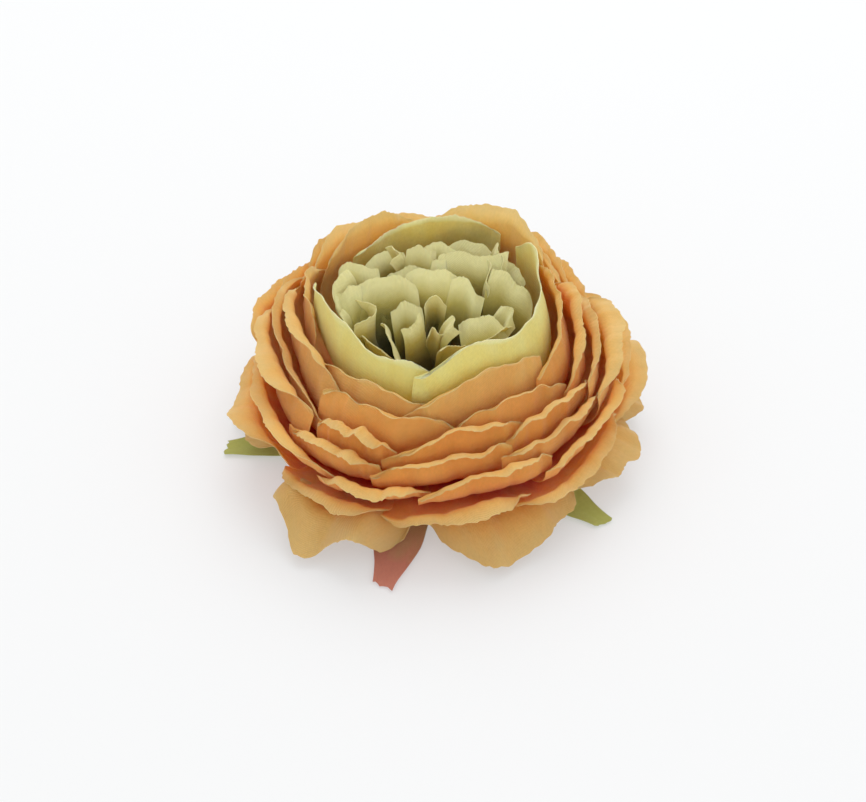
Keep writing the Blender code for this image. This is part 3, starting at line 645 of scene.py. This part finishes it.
def clothMaterial(name, dye):
    # dye["stops"] runs from root to edge; the second ramp is what older petals and the reddish sepal turn
    # to, and also the paler colour of some petals, painted light shining through them from behind
    material = bpy.data.materials.new(name)
    material.use_nodes = True
    shader = material.node_tree.nodes["Principled BSDF"]
    add, wire, maths, mixed, ramp, attribute, noise, stretched = nodeTools(material)
    along = attribute("along").outputs["Fac"]
    tone = attribute("tone").outputs["Fac"]
    place = attribute("clothPlace").outputs["Vector"]
    # the dye bleeds unevenly up the petal, in streaks
    streak = noise(stretched(place, clothFinish["streaks"]), 1.0, 2.0)
    cloud = noise(stretched(place, clothFinish["clouds"]), 1.0, 2.0)
    bleed = maths("MULTIPLY", maths("SUBTRACT", streak, 0.5), dye["bleed"])
    cloudBleed = dye["bleed"] * clothFinish["cloudShare"]
    bleed = maths("ADD", bleed, maths("MULTIPLY", maths("SUBTRACT", cloud, 0.5), cloudBleed))
    height = maths("ADD", along, bleed)
    colour = ramp(height, dye["stops"])
    # mix towards the second ramp: the sepal's blush and older petals' tone, and on some petals painted light
    # shining through them from behind
    if "stopsForBlushAgeAndPaintedBacklight" in dye:
        colour = mixed(attribute("blush").outputs["Fac"], colour, ramp(height, dye["stopsForBlushAgeAndPaintedBacklight"]))
    # petal to petal, and fine streaks along the grain
    shade = maths("ADD", maths("MULTIPLY", tone, dye["spread"]), 1.0 - 0.5 * dye["spread"])
    grain = noise(stretched(place, clothFinish["grain"]), 1.0, 2.0)
    grain = maths("MULTIPLY", grain, clothFinish["grainShade"])
    shade = maths("MULTIPLY", shade, maths("ADD", grain, 1.0 - 0.5 * clothFinish["grainShade"]))
    # weave: warp and weft over and under
    split = add("ShaderNodeSeparateXYZ")
    wire(place, split.inputs[0])
    pitch = 2.0 * math.pi / clothFinish["pitch"]
    warpThread = maths("SINE", maths("MULTIPLY", split.outputs[0], pitch))
    weftThread = maths("SINE", maths("MULTIPLY", split.outputs[1], pitch))
    weave = maths("MULTIPLY", warpThread, weftThread)
    slub = noise(stretched(place, clothFinish["slubs"]), 1.0, 1.0)
    weave = maths("MULTIPLY", weave, maths("ADD", slub, 0.5))
    shade = maths("MULTIPLY", shade, maths("ADD", maths("MULTIPLY", weave, dye["weaveShade"]), 1.0))
    grey = add("ShaderNodeCombineColor")
    for socket in grey.inputs:
        wire(shade, socket)
    colour = mixed(1.0, colour, grey.outputs[0], "MULTIPLY")
    wire(colour, shader.inputs["Base Color"])
    rough = maths("ADD", maths("MULTIPLY", weave, clothFinish["threadRoughness"]), dye["roughness"])
    wire(rough, shader.inputs["Roughness"])
    # pressed veins and weave in the bump
    crinkle = noise(stretched(place, clothFinish["crinkles"]), 1.0, 3.0)
    threads = maths("MULTIPLY", weave, clothFinish["threadHeight"])
    if dye["veins"] > 0.0:
        vein = noise(stretched(place, clothFinish["veins"]), 1.0, 2.0)
        threads = maths("ADD", maths("MULTIPLY", vein, dye["veins"]), threads)
    heightSum = maths("ADD", threads, maths("MULTIPLY", crinkle, dye["crinkle"]))
    bump = add("ShaderNodeBump")
    bump.inputs["Strength"].default_value = clothFinish["bump"]
    bump.inputs["Distance"].default_value = mm
    wire(heightSum, bump.inputs["Height"])
    wire(bump.outputs[0], shader.inputs["Normal"])
    shader.inputs["Specular IOR Level"].default_value = clothFinish["specular"]
    shader.inputs["Sheen Weight"].default_value = dye["sheen"]
    shader.inputs["Sheen Roughness"].default_value = clothFinish["sheenRoughness"]
    shader.inputs["Sheen Tint"].default_value = dye["sheenTint"]
    # thin cloth lets some light through
    shader.inputs["Subsurface Weight"].default_value = dye["glow"]
    shader.inputs["Subsurface Radius"].default_value = clothFinish["lightColours"]
    shader.inputs["Subsurface Scale"].default_value = clothFinish["lightDepth"]
    return material


peachDye = {
    "stops": [(0.0, srgb(210, 20, 40)), (0.20, srgb(250, 96, 44)), (0.38, srgb(250, 132, 48)),
              (0.58, srgb(228, 130, 46)), (0.76, srgb(230, 158, 73)), (0.97, srgb(218, 170, 96))],
    "stopsForBlushAgeAndPaintedBacklight": [(0.0, srgb(220, 70, 50)), (0.28, srgb(250, 160, 84)), (0.52, srgb(246, 182, 98)),
             (0.78, srgb(238, 186, 106)), (0.97, srgb(222, 182, 112))],
    "bleed": 0.19, "spread": 0.10, "weaveShade": 0.12, "roughness": 0.82,
    "veins": 0.02, "crinkle": 0.22, "sheen": 0.12, "sheenTint": (1.0, 0.85, 0.65, 1.0), "glow": 0.6,
}
greenDye = {
    "stops": [(0.0, srgb(210, 140, 30)), (0.30, srgb(222, 158, 46)), (0.50, srgb(222, 180, 74)),
              (0.64, srgb(222, 200, 104)), (0.78, srgb(222, 212, 130)), (0.97, srgb(230, 222, 154))],
    "bleed": 0.16, "spread": 0.08, "weaveShade": 0.09, "roughness": 0.82,
    "veins": 0.0, "crinkle": 0.10, "sheen": 0.12, "sheenTint": (0.95, 1.0, 0.75, 1.0), "glow": 0.6,
}
# the heart's dye turns a darker olive towards the root and falls to near black there: partly its own colour,
# partly painted shade of the deep hollows between its petals
paintedShadeHeartDye = {
    "stops": [(0.0, srgb(24, 24, 12)), (0.52, srgb(62, 58, 26)), (0.68, srgb(122, 112, 46)),
              (0.81, srgb(176, 160, 76)), (0.95, srgb(222, 210, 138))],
    "bleed": 0.05, "spread": 0.20, "weaveShade": 0.09, "roughness": 0.82,
    "veins": 0.0, "crinkle": 0.08, "sheen": 0.12, "sheenTint": (0.95, 1.0, 0.8, 1.0), "glow": 0.4,
}
sepalDye = {
    "stops": [(0.0, srgb(110, 116, 44)), (0.5, srgb(150, 150, 64)), (0.97, srgb(160, 164, 76))],
    "stopsForBlushAgeAndPaintedBacklight": [(0.0, srgb(120, 110, 50)), (0.60, srgb(150, 120, 75)), (0.80, srgb(180, 104, 84)),
             (0.97, srgb(188, 108, 88))],
    "bleed": 0.25, "spread": 0.05, "weaveShade": 0.06, "roughness": 0.8,
    "veins": 0.02, "crinkle": 0.10, "sheen": 0.08, "sheenTint": (0.95, 1.0, 0.8, 1.0), "glow": 0.1,
}
receptaclePlastic = {
    "colours": [(0.3, srgb(108, 128, 58)), (0.7, srgb(128, 148, 70))],
    "mottle": 260.0,
    "grain": 900.0,
    "roughness": 0.4,
    "roughnessSpread": 0.25,
    "bump": 0.3,
    "bumpHeight": 0.2 * mm,
}


def mouldedMaterial(name):
    material = bpy.data.materials.new(name)
    material.use_nodes = True
    shader = material.node_tree.nodes["Principled BSDF"]
    add, wire, maths, _, ramp, _, noise, _ = nodeTools(material)
    where = add("ShaderNodeTexCoord").outputs["Object"]
    mottle = noise(where, receptaclePlastic["mottle"], 3.0)
    wire(ramp(mottle, receptaclePlastic["colours"]), shader.inputs["Base Color"])
    spread = maths("MULTIPLY", mottle, receptaclePlastic["roughnessSpread"])
    wire(maths("ADD", spread, receptaclePlastic["roughness"]), shader.inputs["Roughness"])
    bump = add("ShaderNodeBump")
    bump.inputs["Strength"].default_value = receptaclePlastic["bump"]
    bump.inputs["Distance"].default_value = receptaclePlastic["bumpHeight"]
    wire(noise(where, receptaclePlastic["grain"], 2.0), bump.inputs["Height"])
    wire(bump.outputs[0], shader.inputs["Normal"])
    return material


# making the pieces
def makeLayer(layer, index, paint):
    low = levelOf(index)
    footZ = low + 0.5 * threading["discThick"]
    u, v = gridLines(cloth["columns"], cloth["bodyRows"], cloth["lipRows"])
    draw = random.Random(layer["name"] + "tone")
    sheets = []
    for k in range(len(layer["petals"])):
        x, y, z = petalSurface(layer, footZ, k, u, v)
        dyeHeight = 1.0 - (1.0 - v) * (1.0 + layer["deep"])
        # a listed petal takes its own share in place of its layer's age: painted light shining through it
        # from behind
        ageAndPaintedBacklightShare = layer.get("ageAndPaintedBacklightShare", {}).get(k, layer["age"])
        sheets.append((dyeHeight, x, y, z, draw.random() + layer.get("shade", 0.0), ageAndPaintedBacklightShare))
    disc = discRing(low, threading["pinRadius"] + threading["gap"], threading["discRadius"])
    piece = sewn(layer["name"], sheets, disc, paint)
    print("sewn", layer["name"], len(piece.data.polygons), "faces")
    fitToFrame(piece, layer["node"])


def makeSepals(paint):
    low = levelOf(0)
    footZ = low + 0.5 * threading["discThick"]
    u, v = np.meshgrid(np.linspace(-1, 1, sepalLeaves["columns"]), np.linspace(0, 1, sepalLeaves["rows"]))
    sheets = []
    for place in range(len(sepalLeaves["leaves"])):
        x, y, z = sepalSurface(place, footZ, u, v)
        sheets.append((v, x, y, z, 0.5, 1.0 if place == sepalLeaves["blushed"] else 0.0))
    disc = discRing(low, threading["pinRadius"] + threading["gap"], threading["discRadius"])
    piece = sewn("sepalLeaves", sheets, disc, paint)
    print("sewn sepals")
    fitToFrame(piece, "sepals")


def makeHeart(paint):
    low = levelOf(len(petalLayers) + 2) + threading["gap"]
    footZ = low + heart["footLift"]
    u, v = np.meshgrid(np.linspace(-1, 1, heart["columns"]), np.linspace(0, 1, heart["rows"]))
    draw = random.Random("heart")
    sheets = []
    for petal in heart["petals"]:
        x, y, z = heartSurface(petal, footZ, u, v)
        sheets.append((v, x, y, z, draw.random(), 0.0))
    disc = discRing(low, heart["footHole"], heart["footRadius"])
    piece = sewn("heartPetals", sheets, disc, paint)
    print("sewn heart")
    fitToFrame(piece, "heart_petals")


peachCloth = clothMaterial("peachCloth", peachDye)
greenCloth = clothMaterial("greenCloth", greenDye)
paintedShadeHeartCloth = clothMaterial("paintedShadeHeartCloth", paintedShadeHeartDye)
sepalCloth = clothMaterial("sepalCloth", sepalDye)

for number, layerValues in enumerate(petalLayers, 1):
    makeLayer(layerValues, number, peachCloth)
makeLayer(greenCup, len(petalLayers) + 1, greenCloth)
makeHeart(paintedShadeHeartCloth)
makeSepals(sepalCloth)
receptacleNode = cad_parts["receptacle"]
for slotOfNode in receptacleNode.material_slots:
    slotOfNode.material = mouldedMaterial("receptaclePlastic")

# floor, light and camera
studio = {
    "floorColour": (0.56, 0.57, 0.575, 1.0),
    "skyStrength": 0.86,
    # power, size and place of each lamp
    "softbox": (2.8, 0.7, (0.05, 0.40, 0.75)),
    "frontFill": (0.4, 0.6, (0.10, -0.62, 0.56)),
    "gamma": 1.25,
    # the floor gives off light of its own besides reflecting: painted glow that lifts the shadow round the
    # flower and lights the petals from below
    "floorPaintedGlow": 0.29,
    "floorRoughness": 0.9,
    "floorSize": 4.0,
}


def addLamp(name, power, size, place):
    light = bpy.data.lights.new(name, "AREA")
    light.energy = power
    light.size = size
    lamp = bpy.data.objects.new(name, light)
    bpy.context.scene.collection.objects.link(lamp)
    lamp.location = place
    lamp.rotation_euler = (-Vector(place)).to_track_quat("-Z", "Y").to_euler()


def makeStudio():
    bpy.ops.mesh.primitive_plane_add(size=studio["floorSize"])
    floor = bpy.context.active_object
    floor.name = "floor"
    paint = bpy.data.materials.new("floorWhite")
    paint.use_nodes = True
    shader = paint.node_tree.nodes["Principled BSDF"]
    shader.inputs["Base Color"].default_value = studio["floorColour"]
    shader.inputs["Roughness"].default_value = studio["floorRoughness"]
    # painted glow of the floor, which is no lamp
    shader.inputs["Emission Color"].default_value = (1.0, 1.0, 1.0, 1.0)
    shader.inputs["Emission Strength"].default_value = studio["floorPaintedGlow"]
    floor.data.materials.append(paint)
    world = bpy.data.worlds.new("studioAir")
    bpy.context.scene.world = world
    world.use_nodes = True
    sky = world.node_tree.nodes["Background"]
    sky.inputs[0].default_value = (1.0, 1.0, 1.0, 1.0)
    sky.inputs[1].default_value = studio["skyStrength"]
    for name in ("softbox", "frontFill"):
        addLamp(name, *studio[name])


camera = {
    "target": (0.0, 0.0, 0.018),
    "distance": 0.42,
    "elevation": 42.0,
    "lens": 74.4,
    "sensor": 36.0,
    "shift": (-3.0 / 866.0, -29.0 / 866.0),
    "clipStart": 0.01,
}


def makeCamera():
    data = bpy.data.cameras.new("view")
    data.lens = camera["lens"]
    data.sensor_width = camera["sensor"]
    data.shift_x, data.shift_y = camera["shift"]
    data.clip_start = camera["clipStart"]
    body = bpy.data.objects.new("view", data)
    bpy.context.scene.collection.objects.link(body)
    tilt = math.radians(camera["elevation"])
    away = Vector((0.0, -math.cos(tilt), math.sin(tilt)))
    body.location = Vector(camera["target"]) + away * camera["distance"]
    body.rotation_euler = (-away).to_track_quat("-Z", "Y").to_euler()
    bpy.context.scene.camera = body


makeStudio()
makeCamera()
bpy.context.scene.view_settings.view_transform = "Standard"
bpy.context.scene.view_settings.gamma = studio["gamma"]
print("studio and camera ready")
